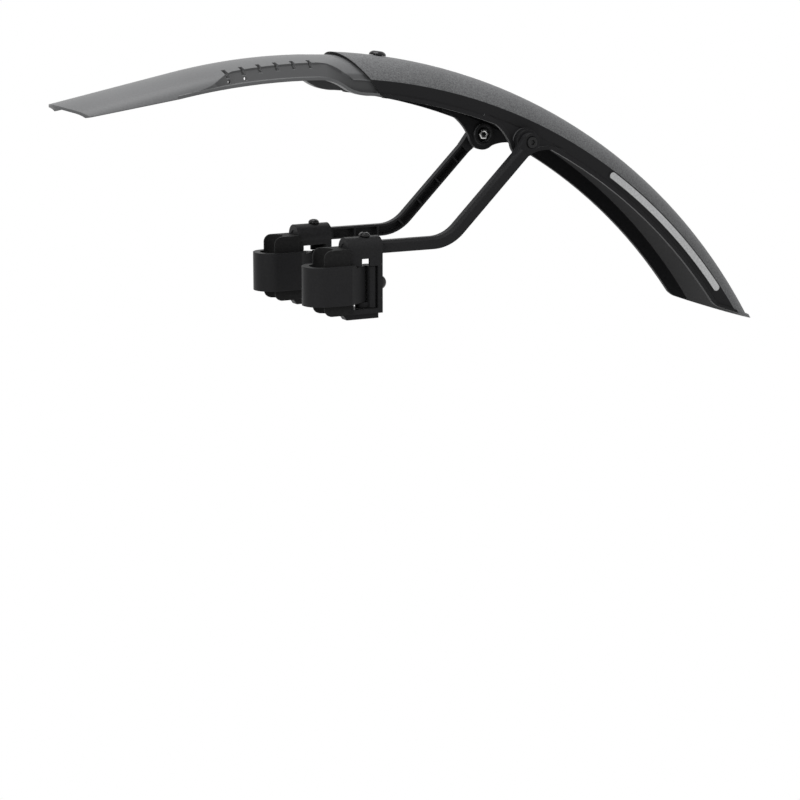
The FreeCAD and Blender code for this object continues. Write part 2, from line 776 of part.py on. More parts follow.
# Flange along the foot of each recess, level with the hem.
hem_front = (-dim("hem_front_x"), ext_crest - dim("hem_front_depth"))
hem_rear = (dim("hem_rear_x"), ext_crest - dim("hem_rear_depth"))
hem_step = (dim("hem_step_x"), ext_crest - dim("hem_step_depth"))
flange = dim("flange_thickness")
hem_radius = dim("hem_radius")
bend_run = hem_step[0] - hem_rear[0]
bend_fall = hem_rear[1] - hem_step[1]
hem_bend = (bend_run * bend_run + bend_fall * bend_fall) / (bend_fall * 4.0)
hem_middle = ((hem_rear[0] + hem_step[0]) / 2.0, (hem_rear[1] + hem_step[1]) / 2.0)
end_low = hem_step[1] - dim("flange_end_drop")
flange_end = joint_top + (crest - end_low) * cut_lean - dim("slide_gap") * 1.5
flange_sketch = new_sketch(extension, "FlangeSide", "XZ_Plane")
draw_outline(flange_sketch, [
    (hem_front[0], hem_front[1], -hem_radius),
    (hem_rear[0], hem_rear[1], -hem_bend),
    (hem_middle[0], hem_middle[1], hem_bend),
    (hem_step[0], hem_step[1]),
    (flange_end, end_low),
    (flange_end - flange * cut_lean, end_low + flange),
    (hem_step[0], hem_step[1] + flange, -hem_bend),
    (hem_middle[0], hem_middle[1] + flange, hem_bend),
    (hem_rear[0], hem_rear[1] + flange, hem_radius),
    (hem_front[0], hem_front[1] + flange),
])
flange_half = nose_out[2][0]
add_pad(extension, "Flange", flange_sketch, flange_half * 2.0, both=True)
trim_sketch = new_sketch(extension, "FlangeTrim", "XY_Plane", ext_crest - far)
trim_start = hem_rear[0] - above
trim_end = flange_end + above
blade_lip_half = wall_at(outer_foot, lip) + dim("bead_proud")
for sign in (-1.0, 1.0):
    trim_outline = [
        (trim_start, flange_half * sign + above * 0.05 * sign),
        (trim_end, blade_lip_half * sign),
        (trim_end, far * sign),
        (trim_start, far * sign),
    ]
    draw_outline(trim_sketch, trim_outline)
add_pocket(extension, "FlangeTrimCut", trim_sketch, far * 2.0, reverse=True)

# Hollow underside: wide in the nose, narrower between the recesses, even wall in the insert.
below = nose_depth + above * 2.0
roof_y = ledge_y - extension_wall * 0.68
roof_up = ledge_up - extension_wall * 0.55
roof_top = ext_crest - extension_wall * 1.2
throat_y = foot_y - extension_wall * 1.85
roof_drop = roof_top - roof_up
roof_radius = (roof_y * roof_y + roof_drop * roof_drop) / (roof_drop * 2.0)
cavity_low = ext_crest - below
narrow_half = [
    (0.0, roof_top, -roof_radius),
    (roof_y, roof_up),
    (throat_y, foot_up),
    (throat_y, cavity_low),
    (0.0, cavity_low),
]
wide_half = solid_half(nose_in, below, upright)
taper_start = -dim("recess_taper")
narrow_sketch = new_sketch(extension, "NarrowCavity", "YZ_Plane", turn=nose_angle)
section(narrow_sketch, narrow_half)
cavity_angle = dim("insert_cavity_angle")
add_turn(extension, "NarrowCavityCut", "Groove", narrow_sketch, "Y_Axis", cavity_angle - nose_angle)
near_sketch = new_sketch(extension, "NearCavity", "YZ_Plane", turn=nose_angle)
section(near_sketch, narrow_half)
add_pocket(extension, "NearCavityCut", near_sketch, dim("recess_taper"))
wide_sketch = new_sketch(extension, "WideCavity", "YZ_Plane", taper_start, nose_angle)
section(wide_sketch, wide_half)
add_pocket(extension, "WideCavityCut", wide_sketch, dim("nose_length"))
deep_sketch = new_sketch(extension, "InsertCavity", "YZ_Plane", turn=cavity_angle)
section(deep_sketch, solid_half(nest_in, insert_depth + above, lean))
deep_sweep = dim("insert_rear_angle") - cavity_angle + 1.0
add_turn(extension, "InsertCavityCut", "Groove", deep_sketch, "Y_Axis", deep_sweep)

# Hem cut, seen from the side, and the rounded front end, seen from above.
hem_slope = tangent(dim("hem_slope"))
nose_end = -dim("nose_tip") - above * 3.0
hem_sketch = new_sketch(extension, "HemCut", "XZ_Plane")
draw_outline(hem_sketch, [
    (nose_end, hem_front[1] - (hem_front[0] - nose_end) * hem_slope),
    (nose_end, hem_front[1] - far),
    (flange_end, hem_front[1] - far),
    (flange_end, end_low),
    (hem_step[0], hem_step[1], -hem_bend),
    (hem_middle[0], hem_middle[1], hem_bend),
    (hem_rear[0], hem_rear[1], hem_radius),
    (hem_front[0], hem_front[1]),
])
add_pocket(extension, "HemEdge", hem_sketch, far * 2.0, both=True)
tip_half = dim("nose_tip_width") / 2.0
tip_radius = dim("nose_tip_radius")
tip_x = -dim("nose_tip")
brow_x = tip_x + tip_radius - root(tip_radius * tip_radius - tip_half * tip_half)
cheek_x = brow_x + dim("nose_corner_run")
cheek_y = nose_out[2][0] + above * 0.1
plan_sketch = new_sketch(extension, "FrontCut", "XY_Plane", ext_crest - far)
draw_outline(plan_sketch, [
    (nose_end - far, -far),
    (cheek_x, -far),
    (cheek_x, -cheek_y, -dim("nose_corner_radius")),
    (brow_x, -tip_half, -tip_radius),
    (brow_x, tip_half, -dim("nose_corner_radius")),
    (cheek_x, cheek_y),
    (cheek_x, far),
    (nose_end - far, far),
])
add_pocket(extension, "FrontEdge", plan_sketch, far * 2.0, reverse=True)

# Behind the joint the insert keeps only its crown and shoulders.
skirt_up = ext_crest - dim("insert_skirt_depth")
skirt_x = joint_top + (crest - skirt_up) * cut_lean + dim("insert_skirt_overlap")
skirt_radius = root(skirt_x * skirt_x + skirt_up * skirt_up)
skirt_rear = polar(skirt_radius, dim("insert_rear_angle") + 1.0)
skirt_sketch = new_sketch(extension, "InsertSkirt", "XZ_Plane")
draw_outline(skirt_sketch, [
    (skirt_x, skirt_up, -skirt_radius),
    (skirt_rear[0], skirt_rear[1]),
    (skirt_rear[0], skirt_up - far),
    (skirt_x + far * cut_lean, skirt_up - far),
])
add_pocket(extension, "InsertSkirtCut", skirt_sketch, far * 2.0, both=True)

# Tie slots through the dome edge and the recess wall, and the slot for the joint screw.
slot_inner = dim("tie_slot_inner")
slot_low = ext_crest - dim("tie_slot_depth")
slot_sketch = new_sketch(extension, "TieSlots", "YZ_Plane", turn=dim("tie_slot_front_angle"))
slot_outer = ledge_y + above
for sign in (-1.0, 1.0):
    inner_y = slot_inner * sign
    outer_y = slot_outer * sign
    draw_outline(slot_sketch, [
        (inner_y, slot_low),
        (outer_y, slot_low),
        (outer_y, ext_crest + above),
        (inner_y, ext_crest + above),
    ])
slot_cut = add_pocket(extension, "TieSlotCut", slot_sketch, dim("tie_slot_width"), both=True)
slot_row = extension.newObject("PartDesign::PolarPattern", "TieSlotRow")
slot_row.Originals = [slot_cut]
slot_row.Axis = (origin_feature(extension, "Y_Axis"), [""])
slot_row.Occurrences = int(dim("tie_slot_count").number)
bind(slot_row, "Occurrences", dim("tie_slot_count"))
bind(slot_row, "Angle", dim("tie_slot_pitch") * (dim("tie_slot_count") - 1.0))
extension.Tip = slot_row
hole_sketch = new_sketch(extension, "TieHoles", "XZ_Plane")
for number in range(int(dim("tie_hole_count").number)):
    hole_angle = dim("tie_slot_front_angle") + dim("tie_slot_pitch") * number
    hole_x, hole_up = polar(ext_crest - dim("tie_hole_depth"), hole_angle)
    draw_circle(hole_sketch, (hole_x, hole_up), dim("tie_hole_radius"))
add_pocket(extension, "TieHoleCut", hole_sketch, far * 2.0, both=True)
slot_half = dim("joint_screw_radius") + dim("joint_clearance")
slide_sketch = new_sketch(extension, "SlideSlot", "XY_Plane", ext_crest - far / 2.0)
slide_radius = ext_crest - extension_wall / 2.0
slide_start = polar(slide_radius, dim("joint_screw_angle"))[0]
slide_end = polar(slide_radius, dim("joint_screw_angle") + dim("slide_angle"))[0]
draw_outline(slide_sketch, [
    (slide_start, slot_half, slot_half * 1.0001),
    (slide_start - slot_half, 0.0, slot_half * 1.0001),
    (slide_start, -slot_half),
    (slide_end, -slot_half, slot_half * 1.0001),
    (slide_end + slot_half, 0.0, slot_half * 1.0001),
    (slide_end, slot_half),
])
add_pocket(extension, "SlideSlotCut", slide_sketch, far, reverse=True)


def add_socket(body, name, plane, face, flats, depth, reverse, centre=(0.0, 0.0)):
    """Hexagonal key socket in a screw head."""
    sketch = new_sketch(body, name, plane, face)
    corners = [(x + centre[0], y + centre[1]) for x, y in hexagon(flats)]
    draw_outline(sketch, corners)
    add_pocket(body, name + "Cut", sketch, depth, reverse=reverse)


# Screw and nut of the sliding joint, set square to the blade.
key = dim("hex_key")
key_depth = dim("hex_key_depth")
joint_head = dim("joint_head_radius")
joint_shank = dim("joint_screw_radius")
joint_seat = crest + dim("thread_gap")
screw_top = crest + dim("joint_head_height")
joint_nut = dim("joint_nut_radius")
nut_top = ext_crest - extension_wall - joint_nut * joint_nut / dim("crown_radius") / 1.8 - dim("thread_gap")
nut_base = nut_top - dim("joint_nut_height")
joint_screw = new_body("joint_screw", z=-axle_drop, turn=dim("joint_screw_angle"))
joint_sketch = new_sketch(joint_screw, "ScrewProfile", "XZ_Plane")
draw_outline(joint_sketch, [
    (0.0, nut_base - 1.2),
    (joint_shank, nut_base - 1.2),
    (joint_shank, joint_seat),
    (joint_head, joint_seat),
    (joint_head, crest + dim("joint_head_height") * 0.35, joint_head * 0.72),
    (joint_head * 0.5, screw_top),
    (0.0, screw_top),
])
add_turn(joint_screw, "ScrewBody", "Revolution", joint_sketch, "Z_Axis")
add_socket(joint_screw, "KeySocket", "XY_Plane", screw_top, key, key_depth, False)
joint_nut_body = new_body("joint_nut", z=-axle_drop, turn=dim("joint_screw_angle"))
nut_sketch = new_sketch(joint_nut_body, "NutProfile", "XY_Plane", nut_base)
draw_outline(nut_sketch, hexagon(joint_nut * root(size_of(3.0))))
add_pad(joint_nut_body, "NutBody", nut_sketch, dim("joint_nut_height"))
nut_hole = new_sketch(joint_nut_body, "NutHole", "XY_Plane", nut_base)
draw_circle(nut_hole, (0.0, 0.0), joint_shank + dim("thread_gap"))
add_pocket(joint_nut_body, "NutHoleCut", nut_hole, dim("joint_nut_height"), reverse=True)

# Reflector strips on the side walls.
strip_low = lip + dim("reflector_low")
strip_high = strip_low + dim("reflector_width")
strip_out = dim("reflector_thickness")
for side, sign in (("left", -1.0), ("right", 1.0)):
    strip = new_body(side + "_reflector", z=-axle_drop)
    strip_sketch = new_sketch(strip, "StripSection", "YZ_Plane", turn=dim("reflector_front"))
    low_y = wall_at(outer_foot, strip_low) * sign
    high_y = wall_at(outer_foot, strip_high) * sign
    strip_side = [
        (low_y, strip_low),
        (low_y + strip_out * sign, strip_low - strip_out * lean),
        (high_y + strip_out * sign, strip_high - strip_out * lean),
        (high_y, strip_high),
    ]
    draw_outline(strip_sketch, strip_side)
    strip_turn = add_turn(strip, "StripBody", "Revolution", strip_sketch, "Y_Axis", dim("reflector_sweep"))

    def strip_end(edge):
        box = edge.BoundBox
        return box.YLength > strip_out.number * 0.5 and edge.Length < strip_out.number * 1.5

    add_edge_treatment(strip, "StripEnds", "Fillet", strip_turn, strip_end, dim("reflector_width") * 0.48)

# Pivot hardware on each ear.
bolt = dim("pivot_bolt_radius")
bolt_head = dim("pivot_bolt_head")
bolt_face = eye_outer + dim("pivot_bolt_proud")
counterbore = bolt_head + dim("joint_clearance")
counterbore_depth = size_of(0.6)
nut_seat = ear_inner + dim("nut_recess_depth")
nut_face = nut_seat - dim("pivot_nut_height")
fit = dim("pivot_running_fit")
for side, sign in (("left", -1.0), ("right", 1.0)):
    spacer = new_body(side + "_pivot_spacer", x=pivot_x, z=pivot_z)
    spacer_sketch = new_sketch(spacer, "SpacerProfile", "XY_Plane")
    draw_outline(spacer_sketch, [
        (bolt + dim("thread_gap"), bead_face * sign),
        (dim("spacer_radius"), bead_face * sign),
        (dim("spacer_radius"), arm_inner * sign),
        (bolt + dim("thread_gap"), arm_inner * sign),
    ])
    add_turn(spacer, "SpacerBody", "Revolution", spacer_sketch, "Y_Axis")

    bolt_body = new_body(side + "_pivot_bolt", x=pivot_x, z=pivot_z)
    bolt_sketch = new_sketch(bolt_body, "BoltProfile", "XY_Plane")
    seat = eye_outer - counterbore_depth + fit
    draw_outline(bolt_sketch, [
        (0.0, nut_face * sign),
        (bolt, nut_face * sign),
        (bolt, seat * sign),
        (bolt_head, seat * sign),
        (bolt_head, bolt_face * sign),
        (0.0, bolt_face * sign),
    ])
    add_turn(bolt_body, "BoltBody", "Revolution", bolt_sketch, "Y_Axis")
    add_socket(bolt_body, "KeySocket", "XZ_Plane", bolt_face * -sign, key, key_depth, sign > 0)

    nut_body = new_body(side + "_pivot_nut", x=pivot_x, z=pivot_z)
    nut_sketch = new_sketch(nut_body, "NutProfile", "XZ_Plane", nut_seat * -sign)
    draw_outline(nut_sketch, hexagon(dim("pivot_nut_flats")))
    add_pad(nut_body, "NutBody", nut_sketch, dim("pivot_nut_height"), reverse=sign < 0)
    hole_sketch = new_sketch(nut_body, "NutHole", "XZ_Plane")
    draw_circle(hole_sketch, (0.0, 0.0), bolt + dim("thread_gap"))
    add_pocket(nut_body, "NutHoleCut", hole_sketch, far * 2.0, both=True)

# Arms: a level bar with a rod end, a bend, a straight slope up to the pivot and an eye.
rod_up = dim("rod_height")
half_height = dim("arm_height") / 2.0
knee_x = dim("clamp_end") + dim("knee_run")
slope_x = pivot_x - knee_x
slope_z = pivot_z - rod_up
slope_length = root(slope_x * slope_x + slope_z * slope_z)
run = slope_x / slope_length
rise = slope_z / slope_length
bend_radius = dim("arm_bend_radius")
bend_reach = bend_radius * rise / (run + 1.0)
bar_start = dim("clamp_end") + dim("slide_gap")


def arm_strip(inset, start_x, end_gap):
    """Side outline of the bar from its rod end to a gap before the pivot."""
    half = half_height - inset
    low = bend_radius + half
    high = bend_radius - half
    bend_x = knee_x - bend_reach
    bend_z = rod_up + bend_radius
    end_x = pivot_x - end_gap * run
    end_z = pivot_z - end_gap * rise
    return [
        (start_x, rod_up - half),
        (bend_x, bend_z - low, low),
        (bend_x + low * rise, bend_z - low * run),
        (end_x + half * rise, end_z - half * run),
        (end_x - half * rise, end_z + half * run),
        (bend_x + high * rise, bend_z - high * run, -high),
        (bend_x, bend_z - high),
        (start_x, rod_up + half),
    ]


def along_slope(reach, height):
    """Point beside the sloped bar: a reach along it from the knee and a height square to it."""
    return (knee_x + reach * run - height * rise, rod_up + reach * rise + height * run)


channel_half = half_height - dim("arm_channel_wall")
rib = dim("arm_rib")
rib_pitch = dim("arm_rib_pitch")
for side, sign in (("left", -1.0), ("right", 1.0)):
    arm = new_body(side + "_arm")
    outward = sign > 0
    bar_sketch = new_sketch(arm, "BarSide", "XZ_Plane", arm_inner * -sign)
    draw_outline(bar_sketch, arm_strip(size_of(0.0), bar_start, dim("eye_radius") * 0.5))
    bar_pad = add_pad(arm, "Bar", bar_sketch, dim("arm_width"), reverse=outward)
    outer_plane = arm_outer.number * sign

    def top_edge(edge):
        box = edge.BoundBox
        flat = abs(box.YMin - outer_plane) < 0.01 and abs(box.YMax - outer_plane) < 0.01
        middle = edge.valueAt((edge.FirstParameter + edge.LastParameter) / 2.0)
        bar_line = rod_up.number
        if middle.x > knee_x.number:
            bar_line = rod_up.number + (middle.x - knee_x.number) * rise.number / run.number
        return flat and edge.Length > dim("arm_height").number * 1.05 and middle.z > bar_line

    add_edge_treatment(arm, "TopChamfer", "Chamfer", bar_pad, top_edge, dim("arm_top_chamfer"))
    outer_sketch = new_sketch(arm, "EyeStep", "XZ_Plane", arm_outer * -sign)
    draw_circle(outer_sketch, (pivot_x, pivot_z), dim("eye_radius") * 1.5)
    add_pocket(arm, "EyeStepCut", outer_sketch, arm_outer - eye_outer, reverse=outward)
    channel_sketch = new_sketch(arm, "ChannelSide", "XZ_Plane", arm_inner * -sign)
    channel_start = bar_start + dim("arm_channel_wall") * 2.0
    draw_outline(channel_sketch, arm_strip(dim("arm_channel_wall"), channel_start, dim("eye_flare")))
    add_pocket(arm, "Channel", channel_sketch, dim("arm_channel_depth"), reverse=not outward)
    for number in range(2):
        rib_x = knee_x - bend_reach - rib_pitch * (number * 1.0 + 0.15)
        rib_sketch = new_sketch(arm, "LevelRib%d" % number, "XZ_Plane", arm_inner * -sign)
        draw_outline(rib_sketch, [
            (rib_x - rib / 2.0, rod_up - channel_half - 0.5),
            (rib_x + rib / 2.0, rod_up - channel_half - 0.5),
            (rib_x + rib / 2.0, rod_up + channel_half + 0.5),
            (rib_x - rib / 2.0, rod_up + channel_half + 0.5),
        ])
        add_pad(arm, "LevelRibPad%d" % number, rib_sketch, dim("arm_channel_depth") + 0.2, reverse=outward)
    for number in range(4):
        reach = dim("slope_rib_start") + dim("slope_rib_pitch") * number
        rib_sketch = new_sketch(arm, "SlopeRib%d" % number, "XZ_Plane", arm_inner * -sign)
        draw_outline(rib_sketch, [
            along_slope(reach, -channel_half - 0.5),
            along_slope(reach + rib, -channel_half - 0.5),
            along_slope(reach + rib, channel_half + 0.9),
            along_slope(reach, channel_half + 0.9),
        ])
        add_pad(arm, "SlopeRibPad%d" % number, rib_sketch, dim("arm_channel_depth") + 0.2, reverse=outward)
    eye_sketch = new_sketch(arm, "EyeSide", "XZ_Plane", arm_inner * -sign)
    draw_circle(eye_sketch, (pivot_x, pivot_z), dim("eye_radius"))
    add_pad(arm, "Eye", eye_sketch, dim("eye_width"), reverse=outward)
    flare = dim("eye_flare")
    flare_half = dim("eye_radius") * 0.97
    flare_sketch = new_sketch(arm, "FlareSide", "XZ_Plane", arm_inner * -sign)
    draw_outline(flare_sketch, [
        along_slope(slope_length - flare, -half_height * 0.98),
        along_slope(slope_length, -flare_half),
        along_slope(slope_length, flare_half),
        along_slope(slope_length - flare, half_height * 0.98),
    ])
    add_pad(arm, "Flare", flare_sketch, dim("eye_width"), reverse=outward)
    sink_sketch = new_sketch(arm, "HeadSink", "XZ_Plane", eye_outer * -sign)
    draw_circle(sink_sketch, (pivot_x, pivot_z), counterbore)
    add_pocket(arm, "HeadSinkCut", sink_sketch, counterbore_depth, reverse=outward)
    eye_bore = new_sketch(arm, "EyeBore", "XZ_Plane")
    draw_circle(eye_bore, (pivot_x, pivot_z), bolt + fit)
    add_pocket(arm, "EyeBoreCut", eye_bore, far * 2.0, both=True)
    rod_sketch = new_sketch(arm, "RodEnd", "YZ_Plane", bar_start + dim("arm_channel_wall"))
    draw_circle(rod_sketch, (dim("arm_centre") * sign, rod_up), dim("rod_radius"))
    rod_length = bar_start + dim("arm_channel_wall") - dim("socket_start") - dim("slide_gap")
    add_pad(arm, "Rod", rod_sketch, rod_length, reverse=True)

# Stay clamps: socket body, rubber seat, strap, tensioner and two screws each.
clamp_y = dim("arm_centre")
body_start = dim("clamp_start")
body_end = dim("clamp_end")
body_half = dim("clamp_half_width")
floor_low = -dim("clamp_floor")
floor_up = floor_low + dim("floor_thickness")
bridge_low = rod_up - dim("bridge_height")
shelf_low = dim("puller_top") + dim("puller_gap")
room_start = body_start + dim("front_wall")
room_end = body_end - dim("rear_wall")
eye_x = dim("strap_eye_x")
pin = dim("strap_pin_radius")
strap_eye = dim("strap_eye_radius")
tail_angle = dim("strap_tail_angle")
seat_radius = dim("seat_radius")
pad_half = dim("pad_half_width")
strap_in = pad_half
strap_out = strap_in + dim("strap_thickness")
strap_up = dim("strap_half_height")
thread = dim("thread_gap")
pull_up = dim("tension_screw_height")
for side, sign in (("left", -1.0), ("right", 1.0)):
    offset_y = clamp_y * sign
    clamp = new_body(side + "_clamp_body", y=offset_y)
    frame_sketch = new_sketch(clamp, "FrameSide", "XZ_Plane")
    draw_outline(frame_sketch, [
        (body_start, floor_low),
        (body_end, floor_low),
        (body_end, rod_up),
        (body_start, rod_up),
    ])
    add_pad(clamp, "Frame", frame_sketch, body_half * 2.0, both=True)
    room_sketch = new_sketch(clamp, "RoomSide", "XZ_Plane")
    draw_outline(room_sketch, [
        (room_start, floor_up),
        (room_end, floor_up),
        (room_end, bridge_low),
        (room_start, bridge_low),
    ])
    add_pocket(clamp, "Room", room_sketch, body_half * 2.0 + 1.0, both=True)
    cheek_sketch = new_sketch(clamp, "WindowCheeks", "XZ_Plane", body_half * -sign)
    for cheek_start, cheek_end in ((room_start, dim("window_start")), (dim("window_end"), room_end)):
        draw_outline(cheek_sketch, [
            (cheek_start, shelf_low),
            (cheek_end, shelf_low),
            (cheek_end, bridge_low),
            (cheek_start, bridge_low),
        ])
    add_pad(clamp, "WindowCheekPads", cheek_sketch, dim("window_wall"), reverse=sign < 0)
    foot_sketch = new_sketch(clamp, "FootSide", "XZ_Plane")
    foot_start = body_start - dim("foot_reach")
    foot_end = body_end - dim("foot_inset")
    foot_low = floor_low - dim("foot_depth")
    draw_outline(foot_sketch, [
        (foot_start + dim("foot_depth") * 0.6, foot_low),
        (foot_end, foot_low),
        (foot_end, floor_low + 0.5),
        (body_start + 0.5, floor_low + 0.5),
        (body_start + 0.5, floor_low),
        (foot_start, floor_low),
        (foot_start, floor_low - 0.6),
    ])
    add_pad(clamp, "Foot", foot_sketch, dim("foot_half_width") * 2.0, both=True)
    tube_sketch = new_sketch(clamp, "SocketRound", "YZ_Plane", dim("socket_start"))
    draw_circle(tube_sketch, (0.0, rod_up), dim("socket_radius"))
    add_pad(clamp, "Socket", tube_sketch, body_end - dim("socket_start"))
    bore_sketch = new_sketch(clamp, "SocketBore", "YZ_Plane")
    draw_circle(bore_sketch, (0.0, rod_up), dim("rod_radius") + dim("rod_fit"))
    add_pocket(clamp, "SocketBoreCut", bore_sketch, far, reverse=True)
    screw_sketch = new_sketch(clamp, "SetScrewBore", "XY_Plane", rod_up)
    draw_circle(screw_sketch, (dim("set_screw_x"), 0.0), dim("set_screw_radius") + thread)
    add_pocket(clamp, "SetScrewBoreCut", screw_sketch, far, reverse=True)
    pull_sketch = new_sketch(clamp, "PullBore", "YZ_Plane", room_end - 1.0)
    draw_circle(pull_sketch, (0.0, pull_up), dim("tension_screw_radius") + thread)
    add_pocket(clamp, "PullBoreCut", pull_sketch, far, reverse=True)

    pad_body = new_body(side + "_clamp_pad", y=offset_y)
    pad_sketch = new_sketch(pad_body, "PadPlan", "XY_Plane", -dim("pad_bottom"))
    lip_x = -dim("pad_lip")
    lip_y = root(seat_radius * seat_radius - dim("pad_lip") * dim("pad_lip"))
    draw_outline(pad_sketch, [
        (lip_x, pad_half),
        (lip_x, lip_y, -seat_radius),
        (seat_radius, 0.0, -seat_radius),
        (lip_x, -lip_y),
        (lip_x, -pad_half),
        (body_start, -pad_half),
        (body_start, pad_half),
    ])
    seat_pad = add_pad(pad_body, "Pad", pad_sketch, dim("pad_bottom") + dim("pad_top"))
    tube_cut = new_sketch(pad_body, "SocketRelief", "YZ_Plane", dim("socket_start") - dim("slide_gap"))
    draw_circle(tube_cut, (0.0, rod_up), dim("socket_radius") + dim("slide_gap"))
    add_pocket(pad_body, "SocketReliefCut", tube_cut, far, reverse=True)

    def pad_corner(edge):
        box = edge.BoundBox
        left = abs(box.XMin - lip_x.number) < 0.01 and abs(box.XMax - lip_x.number) < 0.01
        level = abs(box.ZMin - box.ZMax) < 0.01
        return left and level

    corner_size = dim("pad_corner")
    add_edge_treatment(pad_body, "PadCorners", "Fillet", pad_body.Tip, pad_corner, corner_size)

    strap = new_body(side + "_clamp_strap", y=offset_y)
    strap_sketch = new_sketch(strap, "StrapPlan", "XY_Plane")
    tail_tangent = tangent(tail_angle)
    eye_top = (eye_x + strap_eye * sine(tail_angle), strap_eye * cosine(tail_angle))
    shoulder_x = eye_top[0] - (strap_out - eye_top[1]) / tail_tangent
    draw_outline(strap_sketch, [
        (0.0, strap_out, strap_out * 1.0001),
        (-strap_out, 0.0, strap_out * 1.0001),
        (0.0, -strap_out),
        (shoulder_x, -strap_out),
        (eye_top[0], -eye_top[1], strap_eye),
        (eye_x + strap_eye, 0.0, strap_eye),
        (eye_top[0], eye_top[1]),
        (shoulder_x, strap_out),
    ])
    add_pad(strap, "Strap", strap_sketch, strap_up * 2.0, both=True)
    tail_wall = dim("strap_tail_thickness") / cosine(tail_angle)
    neck = strap_eye - dim("strap_tail_thickness")
    neck_run = root(strap_eye * strap_eye - neck * neck)
    neck_x = eye_x + neck * sine(tail_angle) - neck_run * cosine(tail_angle)
    neck_y = neck * cosine(tail_angle) + neck_run * sine(tail_angle)
    inner_shoulder = shoulder_x + (strap_out - tail_wall - strap_in) / tail_tangent
    strap_inner = seat_radius + dim("strap_seat_gap")
    strap_lip = root(strap_inner * strap_inner - dim("pad_lip") * dim("pad_lip"))
    inside_sketch = new_sketch(strap, "StrapInside", "XY_Plane")
    draw_outline(inside_sketch, [
        (lip_x, strap_in),
        (lip_x, strap_lip, strap_inner),
        (-strap_inner, 0.0, strap_inner),
        (lip_x, -strap_lip),
        (lip_x, -strap_in),
        (inner_shoulder, -strap_in),
        (neck_x, -neck_y, -strap_eye),
        (neck_x, neck_y),
        (inner_shoulder, strap_in),
    ])
    add_pocket(strap, "StrapInsideCut", inside_sketch, strap_up * 2.0 + 2.0, both=True)
    eye_sketch = new_sketch(strap, "PinHole", "XY_Plane")
    draw_circle(eye_sketch, (eye_x, 0.0), pin + dim("strap_pin_gap"))
    add_pocket(strap, "PinHoleCut", eye_sketch, strap_up * 2.0 + 2.0, both=True)
    trim_sketch = new_sketch(strap, "EyeTrim", "XZ_Plane")
    draw_outline(trim_sketch, [
        (room_start + 0.6, dim("puller_top")),
        (room_end, dim("puller_top")),
        (room_end, strap_up + 1.0),
        (room_start + 0.6, strap_up + 1.0),
    ])
    add_pocket(strap, "EyeTrimCut", trim_sketch, body_half * 4.0, both=True)

    puller = new_body(side + "_strap_tensioner", y=offset_y)
    web_low = floor_up + dim("puller_gap")
    web_start = eye_x - strap_eye
    bar_x = room_end - dim("puller_bar") - dim("slide_gap")
    web_sketch = new_sketch(puller, "WebPlan", "XY_Plane", web_low)
    bar_half = dim("puller_bar_half_width")
    bar_end = bar_x + dim("puller_bar")
    bar_round = dim("puller_bar") / 2.0
    bar_middle = bar_x + bar_round
    bar_flat = bar_half - bar_round
    draw_outline(web_sketch, [
        (eye_x, strap_eye, strap_eye * 1.0001),
        (web_start, 0.0, strap_eye * 1.0001),
        (eye_x, -strap_eye),
        (bar_middle, -strap_eye),
        (bar_middle, strap_eye),
    ])
    web_height = -strap_up - web_low - dim("puller_gap")
    add_pad(puller, "Web", web_sketch, web_height)
    bar_sketch = new_sketch(puller, "BarPlan", "XY_Plane", web_low)
    draw_outline(bar_sketch, [
        (bar_x, -bar_flat, bar_round * 1.0001),
        (bar_middle, -bar_half, bar_round * 1.0001),
        (bar_end, -bar_flat),
        (bar_end, bar_flat, bar_round * 1.0001),
        (bar_middle, bar_half, bar_round * 1.0001),
        (bar_x, bar_flat),
    ])
    add_pad(puller, "Bar", bar_sketch, dim("puller_top") - web_low)
    pin_sketch = new_sketch(puller, "PinPlan", "XY_Plane", web_low)
    draw_circle(pin_sketch, (eye_x, 0.0), pin)
    add_pad(puller, "Pin", pin_sketch, dim("puller_top") - web_low)
    thread_sketch = new_sketch(puller, "ScrewThread", "YZ_Plane", bar_x - 0.1)
    draw_circle(thread_sketch, (0.0, pull_up), dim("tension_screw_radius") + thread)
    add_pocket(puller, "ScrewThreadCut", thread_sketch, dim("puller_bar") + 0.2, reverse=True)

    pull_screw = new_body(side + "_tension_screw", y=offset_y)
    pull_screw_sketch = new_sketch(pull_screw, "ScrewProfile", "XZ_Plane")
    head_end = body_end + dim("tension_head_height")
    pull_r = dim("tension_screw_radius")
    pull_head = dim("tension_head_radius")
    draw_outline(pull_screw_sketch, [
        (bar_x + 0.3, pull_up),
        (head_end, pull_up),
        (head_end, pull_up + pull_head * 0.55, pull_head * 0.95),
        (body_end + dim("tension_head_height") * 0.3, pull_up + pull_head),
        (body_end, pull_up + pull_head),
        (body_end, pull_up + pull_r),
        (bar_x + 0.3, pull_up + pull_r),
    ])
    turn = pull_screw.newObject("PartDesign::Revolution", "ScrewBody")
    turn.Profile = pull_screw_sketch
    turn.ReferenceAxis = (pull_screw_sketch, ["Edge1"])
    turn.Angle = 360.0
    add_socket(pull_screw, "KeySocket", "YZ_Plane", head_end, key, key_depth, False, (0.0, pull_up))

